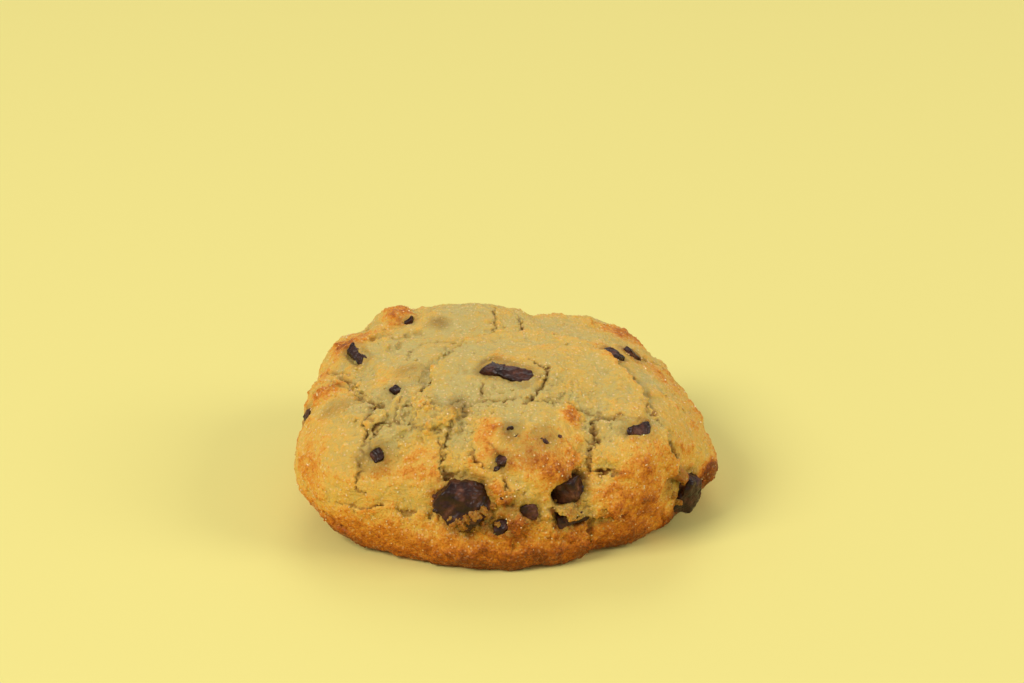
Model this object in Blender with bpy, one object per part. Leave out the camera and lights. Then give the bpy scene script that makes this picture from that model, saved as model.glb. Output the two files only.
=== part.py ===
"""A thick chocolate chip cookie: one baked dough body, and the pieces of chocolate set in it.

Units are metres, +Z is up, and the origin is the middle of the flat base. The dough is a round heap
of soft lumps that ran into each other in the oven. Seen from a heart point inside the heap, the
surface lies as far out in each direction as the furthest lump reaches, so lumps meet in folds.
Every piece of chocolate sits in a socket of its own, cut into the dough a little larger than it is.
"""

import math
import random

import bmesh
import bpy
import numpy as np
from mathutils import Matrix, Vector

MM = 0.001

# Driving sizes of the whole cookie.
HALF_WIDTH = 39.5 * MM
HALF_DEPTH = 36.0 * MM
HEART_HEIGHT = 9.0 * MM
CROWN_RISE = 21.0 * MM
BELLY_DROP = 17.0 * MM
SIDE_FULLNESS = 2.5
FOLD_SHARPNESS = 34.0
BASE_SHIFT = Vector((-0.3, 1.1, 0.0)) * MM

# Slow waves of the plan outline: (waves round the edge, share of the radius, bearing of a crest).
OUTLINE_WAVES = (
    (2, 0.010, 160.0),
    (3, 0.034, 130.0),
    (5, 0.010, 130.0),
    (7, 0.006, -24.0),
)

# Lumps of dough: middle in mm, half sizes in mm, turn about Z in degrees.
LUMPS = {
    "cap": ((5.0, -6.0, 16.5), (22.5, 17.0, 15.3), 0),
    "front_mound": ((3.5, -22.0, 15.5), (13.0, 12.5, 12.5), 0),
    "right_mound": ((22.0, -17.5, 14.5), (11.5, 14.0, 12.5), -30),
    "right_rim": ((26.5, 0.5, 11.0), (11.5, 18.0, 12.8), 8),
    "left_flank": ((-25.5, -14.5, 12.5), (16.0, 18.0, 13.0), 20),
    "left_lump": ((-34.0, -3.5, 19.0), (6.0, 7.5, 6.2), 0),
    "left_shoulder": ((-26.0, 11.0, 16.0), (13.0, 15.0, 12.5), 20),
    "crumbly_lumps": ((-13.0, -19.5, 23.5), (7.0, 5.5, 5.0), 0),
    "back_rim": ((-9.0, 17.5, 16.5), (21.0, 16.0, 14.3), 0),
    "back_right": ((14.5, 17.5, 14.5), (16.0, 16.0, 14.0), -40),
    "ear": ((-25.8, 22.0, 25.8), (6.0, 3.8, 4.2), 25),
    "right_foot": ((19.5, -19.5, 5.5), (12.5, 8.5, 8.0), 40),
    "front_foot": ((-8.5, -25.0, 4.5), (21.0, 9.5, 7.5), -12),
    "left_foot": ((-19.0, -19.0, 3.5), (12.0, 9.5, 8.0), 35),
    "nub": ((38.8, -7.0, 8.0), (4.4, 4.4, 3.6), 0),
}

ICOSPHERE_STEPS = 6
SOFTENING_PASSES = 3
DOUGH_SHARE_KEPT = 0.26

# Pieces of chocolate: bearing and elevation from the heart in degrees, then length, breadth and
# thickness in mm, spin about the surface's normal, lean of the top edge outwards, and how far the
# middle of the piece lies under the surface in mm.
CHOCOLATE = {
    "choc_top": (-91, 62, (11.6, 4.0, 5.0), -2, -10, 2.0),
    "choc_front_big": (-103.8, 7.2, (11.6, 10.4, 7.0), 4, 0, 1.3),
    "choc_front_lower": (-91.4, 1.6, (3.4, 2.6, 3.2), 4, 0, 1.1),
    "choc_front_small": (-83, 6, (3.6, 3.2, 3.6), 10, 0, 1.3),
    "choc_front_block": (-69.8, 10.3, (6.8, 5.4, 6.0), 18, 0, 1.6),
    "choc_ledge": (-69, 2, (7.0, 2.4, 4.0), 6, 0, 1.5),
    "choc_right": (-27, -2.5, (6.6, 8.2, 6.0), -20, 0, 0.6),
    "choc_right_top": (-43, 24, (5.6, 2.6, 3.6), -6, 10, 1.4),
    "choc_left_top": (170.5, 30.2, (7.2, 2.4, 3.6), -20, 0, 1.3),
    "choc_left_pit": (-152, 36, (2.6, 2.4, 3.0), 10, 0, 1.2),
    "choc_left_edge": (-168, 15, (2.6, 2.6, 3.0), 0, 0, 1.2),
    "choc_left_low": (-131, 18, (2.6, 2.6, 3.0), 30, 0, 1.2),
    "choc_cap_right": (7.5, 41.5, (4.6, 3.2, 3.4), 40, 0, 1.4),
    "choc_rim_right": (18, 33, (3.2, 4.2, 3.4), 20, 0, 1.4),
    "choc_ear": (138, 36, (2.4, 2.0, 2.8), 0, 0, 1.1),
    "choc_mound": (-92, 22, (2.4, 2.2, 3.0), -20, 0, 1.3),
    "choc_back_low": (100, 5, (9.0, 7.0, 6.0), 12, 0, 1.6),
    "choc_back_left": (141, 9, (6.0, 5.0, 5.0), -25, 0, 1.5),
    "choc_back_mid": (72, 20, (7.0, 3.6, 5.0), -8, 10, 1.9),
    "choc_back_right": (47, 4, (7.6, 6.2, 6.0), 30, 0, 1.5),
    "choc_side_left": (168, 2, (4.6, 3.8, 4.0), 15, 0, 1.4),
    "choc_side_right": (30, 6, (4.6, 5.0, 4.0), -10, 0, 1.3),
    "choc_back_top": (97, 28, (5.6, 3.2, 4.0), 20, 0, 1.6),
}

CHUNK_UNEVENNESS = 0.16
CHUNK_EDGE_SHARE = 0.13
SOCKET_GAP = 0.3 * MM


def clear_scene():
    for obj in list(bpy.data.objects):
        bpy.data.objects.remove(obj, do_unlink=True)


def make_collection(name, hidden=False):
    collection = bpy.data.collections.new(name)
    bpy.context.scene.collection.children.link(collection)
    collection.hide_render = hidden
    return collection


def make_material(name, colour, roughness):
    material = bpy.data.materials.new(name)
    material.use_nodes = True
    shader = material.node_tree.nodes["Principled BSDF"]
    shader.inputs["Base Color"].default_value = (*colour, 1.0)
    shader.inputs["Roughness"].default_value = roughness
    shader.inputs["Metallic"].default_value = 0.0
    material.diffuse_color = (*colour, 1.0)
    return material


def make_object(name, shape, collection, material=None):
    mesh = bpy.data.meshes.new(name)
    shape.to_mesh(mesh)
    shape.free()
    obj = bpy.data.objects.new(name, mesh)
    collection.objects.link(obj)
    if material:
        mesh.materials.append(material)
    for polygon in mesh.polygons:
        polygon.use_smooth = True
    return obj


def outline(x, y):
    """The plan radius at the bearing of (x, y), as a share of the plain oval's radius."""
    bearing = np.arctan2(y, x)
    share = np.ones_like(bearing)
    for waves, size, crest in OUTLINE_WAVES:
        share += size * np.cos(waves * (bearing - math.radians(crest)))
    return share


def heap_reach(directions):
    """How far the plain heap reaches from the heart along each unit direction."""
    x, y, z = directions.T
    side = outline(x, y)
    across = np.hypot(x / (HALF_WIDTH * side), y / (HALF_DEPTH * side))
    upright = np.abs(z) / np.where(z > 0, CROWN_RISE, BELLY_DROP)
    return (across**SIDE_FULLNESS + upright**SIDE_FULLNESS) ** (-1 / SIDE_FULLNESS)


def lump_reach(directions, middle, halves, turn):
    """How far a lump reaches along each direction, or nothing where the direction misses it."""
    to_lump = np.array(Matrix.Rotation(math.radians(-turn), 3, "Z"))
    squash = to_lump / (np.array(halves)[:, None] * MM)
    start = squash @ (np.array((0, 0, HEART_HEIGHT)) - np.array(middle) * MM)
    rays = directions @ squash.T
    a = (rays * rays).sum(1)
    b = rays @ start
    c = start @ start - 1
    inside = b * b - a * c
    reach = (-b + np.sqrt(np.maximum(inside, 0))) / a
    return np.where(inside > 0, np.maximum(reach, 0), 0)


def dough_surface(directions):
    """Points of the dough's skin along unit directions from the heart, lumps blended into the heap."""
    reaches = [heap_reach(directions)]
    reaches += [lump_reach(directions, *lump) for lump in LUMPS.values()]
    longest = np.max(reaches, axis=0)
    share = sum((reach / longest) ** FOLD_SHARPNESS for reach in reaches)
    reach = longest * share ** (1 / FOLD_SHARPNESS)
    return directions * reach[:, None] + np.array((0, 0, HEART_HEIGHT)) + np.array(BASE_SHIFT)


def make_dough(collection, material):
    """A fine ball pulled out to the skin, softened, thinned, and pressed flat by the tray."""
    shape = bmesh.new()
    bmesh.ops.create_icosphere(shape, subdivisions=ICOSPHERE_STEPS, radius=1)
    directions = np.array([v.co.normalized() for v in shape.verts])
    for vert, place in zip(shape.verts, dough_surface(directions)):
        vert.co = place
    for _ in range(SOFTENING_PASSES):
        bmesh.ops.smooth_vert(
            shape, verts=shape.verts[:], factor=0.5,
            use_axis_x=True, use_axis_y=True, use_axis_z=True,
        )
    dough = make_object("dough", shape, collection, material)
    thin = dough.modifiers.new("thin", "DECIMATE")
    thin.ratio = DOUGH_SHARE_KEPT
    return dough


def cut(obj, cutter):
    modifier = obj.modifiers.new("cut " + cutter.name, "BOOLEAN")
    modifier.operation = "DIFFERENCE"
    modifier.solver = "EXACT"
    modifier.object = cutter


def make_tray_cutter(collection):
    """A slab under the floor that flattens the base."""
    shape = bmesh.new()
    slab = Matrix.Translation((0, 0, -20 * MM)) @ Matrix.Diagonal((120 * MM, 120 * MM, 40 * MM, 1))
    bmesh.ops.create_cube(shape, size=1, matrix=slab)
    cutter = make_object("tray cutter", shape, collection)
    cutter.display_type = "WIRE"
    return cutter


def skin_frame(bearing, elevation):
    """A frame on the skin: its origin there, X level along it, Y up it, Z straight out of it."""
    turn, rise = math.radians(bearing), math.radians(elevation)
    steps = ((0, 0), (0.03, 0), (-0.03, 0), (0, 0.03), (0, -0.03))
    directions = np.array([
        (
            math.cos(rise + up) * math.cos(turn + side / math.cos(rise)),
            math.cos(rise + up) * math.sin(turn + side / math.cos(rise)),
            math.sin(rise + up),
        )
        for side, up in steps
    ])
    here, right, left, above, below = (Vector(p) for p in dough_surface(directions))
    out = (right - left).cross(above - below).normalized()
    level = Vector((0, 0, 1)).cross(out).normalized()
    frame = Matrix((level, out.cross(level), out)).transposed().to_4x4()
    return Matrix.Translation(here) @ frame


def chunk_shape(size, seed, extra=0.0):
    """A chopped block of chocolate: an uneven box with its edges rounded off."""
    roll = random.Random(seed)
    shape = bmesh.new()
    bmesh.ops.create_cube(shape, size=1)
    for vert in shape.verts:
        for axis in range(3):
            uneven = 1 + roll.uniform(-CHUNK_UNEVENNESS, 0)
            vert.co[axis] *= size[axis] * MM * uneven + 2 * extra
    edge = CHUNK_EDGE_SHARE * min(size) * MM
    bmesh.ops.bevel(
        shape, geom=shape.edges[:], offset=edge, offset_type="OFFSET", segments=2,
        profile=0.5, affect="EDGES", clamp_overlap=True, material=-1,
    )
    return shape


def make_chunk(name, place, seed, parts, cutters, material):
    bearing, elevation, size, spin, lean, depth = place
    frame = (
        skin_frame(bearing, elevation)
        @ Matrix.Translation((0, 0, -depth * MM))
        @ Matrix.Rotation(math.radians(spin), 4, "Z")
        @ Matrix.Rotation(math.radians(lean), 4, "X")
    )
    block = chunk_shape(size, seed)
    block.transform(frame)
    make_object(name, block, parts, material)
    hole = chunk_shape(size, seed, extra=SOCKET_GAP)
    hole.transform(frame)
    cutter = make_object(name + " cutter", hole, cutters)
    cutter.hide_render = True
    cutter.display_type = "WIRE"
    return cutter


def main():
    clear_scene()
    parts = make_collection("chocolate chip cookie")
    cutters = make_collection("cutters", hidden=True)
    baked_dough = make_material("baked dough", (0.60, 0.36, 0.12), 0.6)
    dark_chocolate = make_material("dark chocolate", (0.05, 0.022, 0.012), 0.35)

    dough = make_dough(parts, baked_dough)
    tray = make_tray_cutter(cutters)
    tray.hide_render = True
    cut(dough, tray)
    for seed, (name, place) in enumerate(CHOCOLATE.items()):
        cut(dough, make_chunk(name, place, seed, parts, cutters, dark_chocolate))


main()
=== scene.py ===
# %% [markdown]
# # A thick chocolate chip cookie
#
# This is a soft bakery cookie: a heap of dough that spread a little in the oven and set while it was
# still tall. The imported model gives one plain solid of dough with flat-sided blocks of chocolate let
# into it. Here that dough gets its folds, cracks, crumb and crust, and the blocks become chopped
# chocolate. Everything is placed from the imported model, so the looks and the solids always agree.

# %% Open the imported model
import math
import random
from functools import partial

import bmesh
import bpy
import numpy as np
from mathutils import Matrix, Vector, noise
from mathutils.bvhtree import BVHTree


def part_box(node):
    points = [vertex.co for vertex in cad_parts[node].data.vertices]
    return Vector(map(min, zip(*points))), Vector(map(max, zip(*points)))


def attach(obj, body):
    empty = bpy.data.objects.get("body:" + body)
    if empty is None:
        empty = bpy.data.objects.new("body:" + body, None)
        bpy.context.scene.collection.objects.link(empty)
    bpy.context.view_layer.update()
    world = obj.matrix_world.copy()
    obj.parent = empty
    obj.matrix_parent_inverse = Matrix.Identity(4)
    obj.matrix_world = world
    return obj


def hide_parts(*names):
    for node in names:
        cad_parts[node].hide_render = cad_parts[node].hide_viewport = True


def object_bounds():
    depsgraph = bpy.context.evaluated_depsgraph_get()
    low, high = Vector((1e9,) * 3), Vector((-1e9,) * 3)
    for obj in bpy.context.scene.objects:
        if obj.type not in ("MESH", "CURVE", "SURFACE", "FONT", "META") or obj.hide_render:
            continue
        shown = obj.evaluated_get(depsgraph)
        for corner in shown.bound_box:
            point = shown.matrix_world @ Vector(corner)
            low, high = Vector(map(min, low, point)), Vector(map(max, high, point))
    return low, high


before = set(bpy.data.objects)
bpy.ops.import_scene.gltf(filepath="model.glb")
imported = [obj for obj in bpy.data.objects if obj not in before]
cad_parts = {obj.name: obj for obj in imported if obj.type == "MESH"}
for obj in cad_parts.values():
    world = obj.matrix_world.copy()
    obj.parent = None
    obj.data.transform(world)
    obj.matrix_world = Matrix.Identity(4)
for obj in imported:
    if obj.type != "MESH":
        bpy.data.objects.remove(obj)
cad_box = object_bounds()
MM = 0.001
low, high = (Vector(corner) for corner in cad_box)
middle = (low + high) / 2
print("cookie size in mm:", [round(side / MM, 1) for side in high - low])

# %% [markdown]
# ## The camera
#
# A long lens half a metre away, a little above the table, sees the cookie as someone sitting down to
# it does. A wide lens close by would frame it too, but would swell its front and hide its back.
# The lens aims above the cookie's middle, so the cookie stands low in the frame.

# %% Camera
PITCH = math.radians(24.5)
DISTANCE = 0.5
HALF_HEIGHT, ASIDE, ROOM_ABOVE = 15 * MM, 0.6 * MM, 15.8 * MM
ahead = Vector((0, math.cos(PITCH), -math.sin(PITCH)))
above = Vector((0, math.sin(PITCH), math.cos(PITCH)))
aim = Vector((middle.x + ASIDE, middle.y, low.z + HALF_HEIGHT)) + above * ROOM_ABOVE

lens = bpy.data.cameras.new("camera")
lens.lens = 88.2
lens.sensor_width = 36
lens.clip_start = 0.01
camera = bpy.data.objects.new("camera", lens)
camera.location = aim - ahead * DISTANCE
camera.rotation_euler = (math.radians(90) - PITCH, 0, 0)
bpy.context.scene.collection.objects.link(camera)
bpy.context.scene.camera = camera
print("camera height in mm:", round(camera.location.z / MM))

# %% [markdown]
# ## Small helpers
#
# Colours are chosen as a painter would name them, as sRGB hex, and Blender's shaders want linear
# light, so one function converts them. Another adds a shader node with its settings and its links,
# because wiring each by hand would hide the material's idea.

# %% Colours
def colour(hex_code):
    """Turn an sRGB hex colour such as "#D1A95C" into Blender's linear colour."""
    parts = [int(hex_code[i : i + 2], 16) / 255 for i in (1, 3, 5)]
    return (*(p / 12.92 if p <= 0.04045 else ((p + 0.055) / 1.055) ** 2.4 for p in parts), 1.0)

print("butter yellow is", [round(c, 3) for c in colour("#EFE185")])


# %% Nodes and materials
def set_inputs(node, inputs):
    """Give each input of a node its value, or a link where the value is another node's output."""
    for socket, value in inputs.items():
        if isinstance(value, bpy.types.NodeSocket):
            node.id_data.links.new(value, node.inputs[socket])
        else:
            node.inputs[socket].default_value = value


def add_node(material, kind, settings=None, inputs=None, stops=None, output=0):
    """Add a shader node and give back one output. settings are its options, stops its colour ramp."""
    node = material.node_tree.nodes.new("ShaderNode" + kind)
    for option, value in (settings or {}).items():
        setattr(node, option, value)
    set_inputs(node, inputs or {})
    for index, (position, shade) in enumerate(stops or []):
        points = node.color_ramp.elements
        point = points[index] if index < len(points) else points.new(position)
        point.position = position
        point.color = colour(shade)
    return node.outputs[output]


def new_material(name):
    """A node material, its Principled shader, and add_node for this material alone."""
    material = bpy.data.materials.new(name)
    material.use_nodes = True
    return material, material.node_tree.nodes["Principled BSDF"], partial(add_node, material)

print("a material starts with a Principled shader")


# %% Meshes and objects
def mesh_from(shape, name):
    """Turn a finished bmesh into a mesh."""
    mesh = bpy.data.meshes.new(name)
    shape.to_mesh(mesh)
    shape.free()
    return mesh


def show(name, data):
    """Put an object at the origin of the scene that shows a mesh or a lamp."""
    thing = bpy.data.objects.new(name, data)
    bpy.context.scene.collection.objects.link(thing)
    return thing


def new_piece(name, mesh, material):
    """Show a mesh with one material, smoothly shaded."""
    mesh.name = name
    mesh.materials.clear()
    mesh.materials.append(material)
    mesh.polygons.foreach_set("use_smooth", [True] * len(mesh.polygons))
    return show(name, mesh)


print("a piece stands at the origin, with its place in its mesh")

# %% [markdown]
# ## The table and the light
#
# The cookie stands on a plain pale yellow sheet. One small lamp would cast a hard shadow and burn
# white spots into the chocolate. So the light is soft and comes from all round: a large panel on
# each side, a third high at the back, and a bright room.

# %% Table
TABLE = 3.0
sheet_shape = bmesh.new()
bmesh.ops.create_grid(sheet_shape, x_segments=1, y_segments=1, size=TABLE)

# Matt coloured paper: fully rough, with no shine to catch the lamps.
yellow_paper, paper_shader, _ = new_material("yellow paper")
set_inputs(paper_shader, {
    "Base Color": colour("#E8DC86"), "Roughness": 0.9, "Specular IOR Level": 0.2})
sheet = new_piece("table_sheet", mesh_from(sheet_shape, "table sheet"), yellow_paper)
print("table sheet is", 2 * TABLE, "m wide")

# %% Lamps
def add_panel(name, place, size, watts, tint):
    """A square lamp of the given width that faces the cookie."""
    lamp = bpy.data.lights.new(name, "AREA")
    lamp.shape = "SQUARE"
    lamp.size = size
    lamp.energy = watts
    lamp.color = colour(tint)[:3]
    panel = show(name, lamp)
    panel.location = middle + Vector(place)
    panel.rotation_euler = (-Vector(place)).to_track_quat("-Z", "Y").to_euler()


add_panel("left panel", (-1.10, -0.80, 1.20), 0.8, 21.0, "#FFFBF2")
add_panel("right panel", (1.50, -0.30, 0.95), 0.8, 11.5, "#FFFBF2")
add_panel("back panel", (0.0, 1.9, 1.9), 1.2, 13.2, "#FFFDF8")
room = bpy.data.worlds.new("bright room")
room.use_nodes = True
set_inputs(room.node_tree.nodes["Background"], {"Color": (1.0, 1.0, 1.0, 1.0), "Strength": 0.42})
bpy.context.scene.world = room
bpy.context.scene.view_settings.view_transform = "Standard"

# %% [markdown]
# ## Finding a place on the dough
#
# A lump of dough has no corners to measure from. Instead, every place is given as seen from a heart
# point inside it: a bearing round the cookie, with 0 to the right and -90 to the front, and an
# elevation above the horizon. The nearer the elevation is to 90, the nearer the place is to the top.

# %% The heart of the dough
dough_low, dough_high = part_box("dough")
heart = (dough_low + dough_high) / 2
heart.z = dough_low.z + 0.28 * (dough_high.z - dough_low.z)


def toward(bearing, elevation):
    """The direction of a place on the dough, seen from the heart."""
    turn, rise = math.radians(bearing), math.radians(elevation)
    level = math.cos(rise)
    return Vector((level * math.cos(turn), level * math.sin(turn), math.sin(rise)))


print("heart in mm:", [round(c / MM, 1) for c in heart])

# %% [markdown]
# ## Points as numbers
#
# Chocolate and dough are both shaped by pushing the points of a fine even mesh. A loop over tens of
# thousands of points takes minutes, so they are read into arrays and handled together. Noise decides
# most pushes, and its size is always a real length.

# %% Helpers for points and noise
def vectors(items, field):
    found = np.empty(len(items) * 3, np.float32)
    items.foreach_get(field, found)
    return found.reshape(-1, 3).astype(float)


def noise_over(places, size, seed, octaves=3):
    """Soft noise of about -1 to 1 at each place, in lumps about `size` across."""
    shift = Vector((13.7, 4.1, 29.3)) * seed
    return np.array([noise.fractal(Vector(p) / size + shift, 1.0, 2.0, octaves) for p in places])


def smooth_step(values, start, end):
    share = np.clip((values - start) / (end - start), 0, 1)
    return share * share * (3 - 2 * share)


def local_axes(centre):
    """Right, up and out at a place, as seen by someone who looks at the cookie from outside."""
    out = (Vector(centre) - heart).normalized()
    right = Vector((0, 0, 1)).cross(out).normalized()
    return right, out.cross(right), out


print("the front faces", [round(c, 2) for c in local_axes(heart + toward(-90, 0))[2]])

# %% [markdown]
# ## Even quads
#
# A surface that gets pushed about needs faces of one size. Subdividing would keep the slivers that
# cuts leave, so the voxel Remesh modifier lays fresh quads over any closed form instead.

# %% Lay even quads over a form
def with_modifiers(mesh, *steps):
    """What some modifiers make of a mesh. Each step is a modifier's type and its settings."""
    carrier = show("carrier", mesh)
    for kind, settings in steps:
        modifier = carrier.modifiers.new(kind, kind)
        for option, value in settings.items():
            setattr(modifier, option, value)
    bpy.context.view_layer.update()
    shown = carrier.evaluated_get(bpy.context.evaluated_depsgraph_get())
    made = bpy.data.meshes.new_from_object(shown)
    bpy.data.objects.remove(carrier, do_unlink=True)
    return made


def even_quads(mesh, quad, softening=0):
    """Rebuild a closed mesh from even quads of one size, softened in a few rounds."""
    return with_modifiers(
        mesh, ("REMESH", {"mode": "VOXEL", "voxel_size": quad}), ("SMOOTH", {"iterations": softening}))


def triangle_count(mesh):
    return sum(len(p.vertices) - 2 for p in mesh.polygons)


# %% [markdown]
# ## Dark chocolate
#
# Chopped dark chocolate melts and sets again without tempering, so its face is satin, with a grey
# bloom in patches where cocoa butter came to the surface. One flat brown would pass for plastic.
# Soft noise through a ramp of browns gives the bloom, and the same noise dulls the gloss there. A
# fine bump gives the grain of the break.

# %% Dark chocolate material
BLOOM_CLOUD, BREAK_GRAIN = 2.38 * MM, 0.455 * MM
dark_chocolate, chocolate_shader, add = new_material("dark chocolate")
place = add("TexCoord", output="Object")
clouds = add("TexNoise", inputs={
    "Vector": place, "Scale": 1 / BLOOM_CLOUD, "Detail": 4.0, "Roughness": 0.6})
specks = add("TexNoise", inputs={"Vector": place, "Scale": 1 / BREAK_GRAIN, "Detail": 2.0})
cocoa = add("ValToRGB", inputs={"Fac": clouds}, stops=[
    (0.35, "#1E0B06"), (0.50, "#35180E"), (0.62, "#542C1D"), (0.75, "#7A5443")])
dull = add("MapRange", inputs={
    "Value": clouds, "From Min": 0.35, "From Max": 0.7, "To Min": 0.28, "To Max": 0.55})
rough = add("Bump", inputs={"Strength": 0.35, "Distance": 0.2 * MM, "Height": specks})
set_inputs(chocolate_shader, {
    "Base Color": cocoa, "Roughness": dull, "Normal": rough, "IOR": 1.5, "Specular IOR Level": 0.3})
print("dark chocolate has", len(dark_chocolate.node_tree.nodes), "nodes")

# %% [markdown]
# ## Chopped pieces
#
# A knife breaks chocolate along flat, uneven planes. Bevels would round every edge alike, so each
# piece is cut as the knife cut it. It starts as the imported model's block, loses a few corners to
# planes, gets fine even quads, and is roughened by noise.

# %% Chop each block
chocolate_names = sorted(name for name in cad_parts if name.startswith("choc_"))
# name: cuts as (right, up, out, depth mm): the plane's facing, seen from outside, and how deep it goes
CUTS = {
    "choc_top": [(0, 0.1, 1, 1), (-0.9, 0.6, 0.5, 0.6), (0.9, 0.3, 0.5, 0.5), (0.3, -0.8, 0.6, 0.5)],
    "choc_front_big": [
        (0.8, 0.2, 0.6, 1.8), (-0.8, -0.35, 0.5, 1.6), (0.1, 0.8, 0.6, 1.2), (-0.75, 0.75, 0.2, 2.2),
        (-0.75, -0.75, 0.2, 2.8), (0.75, -0.75, 0.2, 2.2), (0.75, 0.75, 0.2, 1.4), (0.2, -0.6, 0.75, 1.3)],
    "choc_front_lower": [(0.7, -0.5, 0.6, 0.8), (0, 0.6, 0.8, 0.7)],
    "choc_front_block": [
        (-0.72, -0.2, 0.66, 2.4), (0.66, 0.1, 0.75, 1.6), (0.1, -0.8, 0.6, 1.2), (0.8, -0.6, 0.1, 1.2)],
    "choc_right": [(0.8, 0.1, 0.6, 1.4), (-0.7, -0.2, 0.7, 1.3), (0.1, -0.9, 0.4, 1)],
    "choc_left_top": [(0, 0.1, 1, 0.5), (0.6, 0.3, 0.6, 0.5)],
    "choc_left_low": [(0.1, 0.1, 1, 0.5), (0.8, 0.5, 0.3, 0.5), (-0.7, -0.6, 0.3, 0.5)],
    "choc_ear": [(0, 0, 1, 0.9), (0.6, 0.6, 0.5, 0.5)],
    "choc_cap_right": [(0, 0.2, 1, 0.5), (0.7, -0.6, 0.3, 0.6)],
    "choc_rim_right": [(0, 0.2, 1, 1.5), (0.6, 0.7, 0.3, 0.7)],
    "choc_right_top": [
        (0, 0.3, 1, 0.5), (-0.9, 0.6, 0.3, 0.8), (-0.9, -0.6, 0.3, 0.6), (0.9, -0.5, 0.3, 0.8)],
    "choc_ledge": [(0, 0.2, 1, 0.3), (0.8, 0.5, 0.4, 0.6)],
    "choc_left_edge": [(0.1, 0.2, 1, 0.3), (-0.7, 0.6, 0.4, 0.4)],
}
FINEST_QUAD = 0.10 * MM
SURPRISE_CUTS = 5
surprise = random.Random(11)


def cut_off(shape, point, facing):
    """Cut away what lies beyond a plane, close the cut and give back its rim."""
    sliced = bmesh.ops.bisect_plane(
        shape, geom=shape.verts[:] + shape.edges[:] + shape.faces[:], dist=1e-7,
        plane_co=point, plane_no=facing, clear_outer=True)
    rim = [e for e in sliced["geom_cut"] if isinstance(e, bmesh.types.BMEdge)]
    bmesh.ops.edgeloop_fill(shape, edges=rim)
    return rim


def chop(name):
    """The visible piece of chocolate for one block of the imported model."""
    shape = bmesh.new()
    shape.from_mesh(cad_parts[name].data)
    bmesh.ops.remove_doubles(shape, verts=shape.verts[:], dist=1e-6)
    centre = sum((v.co for v in shape.verts), Vector()) / len(shape.verts)
    right, up, out = local_axes(centre)
    cuts = CUTS.get(name) or [
        (surprise.uniform(-1, 1), surprise.uniform(-1, 1), surprise.uniform(0.3, 0.9), None)
        for _ in range(SURPRISE_CUTS)]
    span = max((v.co - centre).length for v in shape.verts)
    for across, along, away, depth in cuts:
        facing = (right * across + up * along + out * away).normalized()
        edge = max((v.co - centre).dot(facing) for v in shape.verts)
        depth = span * surprise.uniform(0.10, 0.26) if depth is None else depth * MM
        cut_off(shape, centre + facing * (edge - depth), facing)
    chunk = even_quads(mesh_from(shape, name), max(FINEST_QUAD, 0.026 * span), softening=3)
    spots = vectors(chunk.vertices, "co")
    dents = 0.30 * noise_over(spots, 1.9 * MM, 7, 4) + 0.08 * noise_over(spots, 0.5 * MM, 8, 2)
    spots += vectors(chunk.vertices, "normal") * (dents * MM)[:, None]
    chunk.vertices.foreach_set("co", spots.astype(np.float32).ravel())
    return chunk


pieces = {}
faces = 0
for name in chocolate_names:
    chunk = new_piece(name.replace("choc_", "chocolate_"), chop(name), dark_chocolate)
    pieces[name] = chunk.data
    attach(chunk, "root")
    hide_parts(name)
    faces += len(chunk.data.polygons)
print(len(chocolate_names), "pieces of chocolate,", faces, "faces")

# %% [markdown]
# ## The dough's plain form
#
# The solid dough has a socket for every piece of chocolate, and sockets are no use to a baker. A
# shrink-wrap would dip into each one. Here a fine ball is drawn in to the dough's skin from all
# round, and where a point lands near a socket, it is let go and relaxed between its neighbours, as a
# skin would stretch over the hole. Even quads are then laid all over, ready to be shaped.

# %% Draw a ball in to the skin
def skin_of(*meshes):
    """A search tree over the surface of some meshes."""
    points, faces = [], []
    for mesh in meshes:
        first = len(points)
        points += [v.co.copy() for v in mesh.vertices]
        faces += [[first + corner for corner in p.vertices] for p in mesh.polygons]
    return BVHTree.FromPolygons(points, faces)


def relax(shape, verts, passes):
    for _ in range(passes):
        bmesh.ops.smooth_vert(
            shape, verts=verts, factor=0.5, use_axis_x=True, use_axis_y=True, use_axis_z=True)


FAR = 0.1
SOCKET_REACH = 1.4 * MM
SOCKET_PASSES, SKIN_PASSES = 80, 3
plain_dough_skin = skin_of(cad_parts["dough"].data)
blocks_skin = skin_of(*(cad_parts[name].data for name in chocolate_names))
ball = bmesh.new()
bmesh.ops.create_icosphere(ball, subdivisions=6, radius=1)
over_sockets = []
for vert in ball.verts:
    way = vert.co.normalized()
    vert.co = plain_dough_skin.ray_cast(heart + way * FAR, -way)[0]
    if blocks_skin.find_nearest(vert.co, SOCKET_REACH)[0] is not None:
        over_sockets.append(vert)
relax(ball, over_sockets, SOCKET_PASSES)
relax(ball, ball.verts[:], SKIN_PASSES)
print(len(over_sockets), "of", len(ball.verts), "points lay in sockets")


# %% Even quads for the form
FORM_QUAD = 0.45 * MM
form = even_quads(mesh_from(ball, "dough form"), FORM_QUAD, softening=6)
print("dough form:", len(form.vertices), "points")

# %% [markdown]
# ## Reading the skin as numbers
#
# The skin has tens of thousands of points, so they are handled together as arrays. Each step works
# out how far to push every point along its normal, in millimetres, and the pushes are added up before
# the points move. The directions from the heart are bent by noise, so no line drawn on them is straight.

# %% The skin as arrays
def crumb_neighbours(places, size):
    """The middles of the nearest and second nearest crumb to each place, and its gap to their border."""
    found = [noise.voronoi(Vector(p) / size) for p in places]
    middles = np.array([[tuple(near[1][0]), tuple(near[1][1])] for near in found]) * size
    border = np.array([near[0][1] - near[0][0] for near in found]) * size / 2
    return middles[:, 0], middles[:, 1], border


MIDDLE_REACH = 38 * MM
BEND = 0.7 * MM
CRUMB = 1.5 * MM
EDGE_REACH, NO_EDGE = 1.6, 9.0


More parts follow.
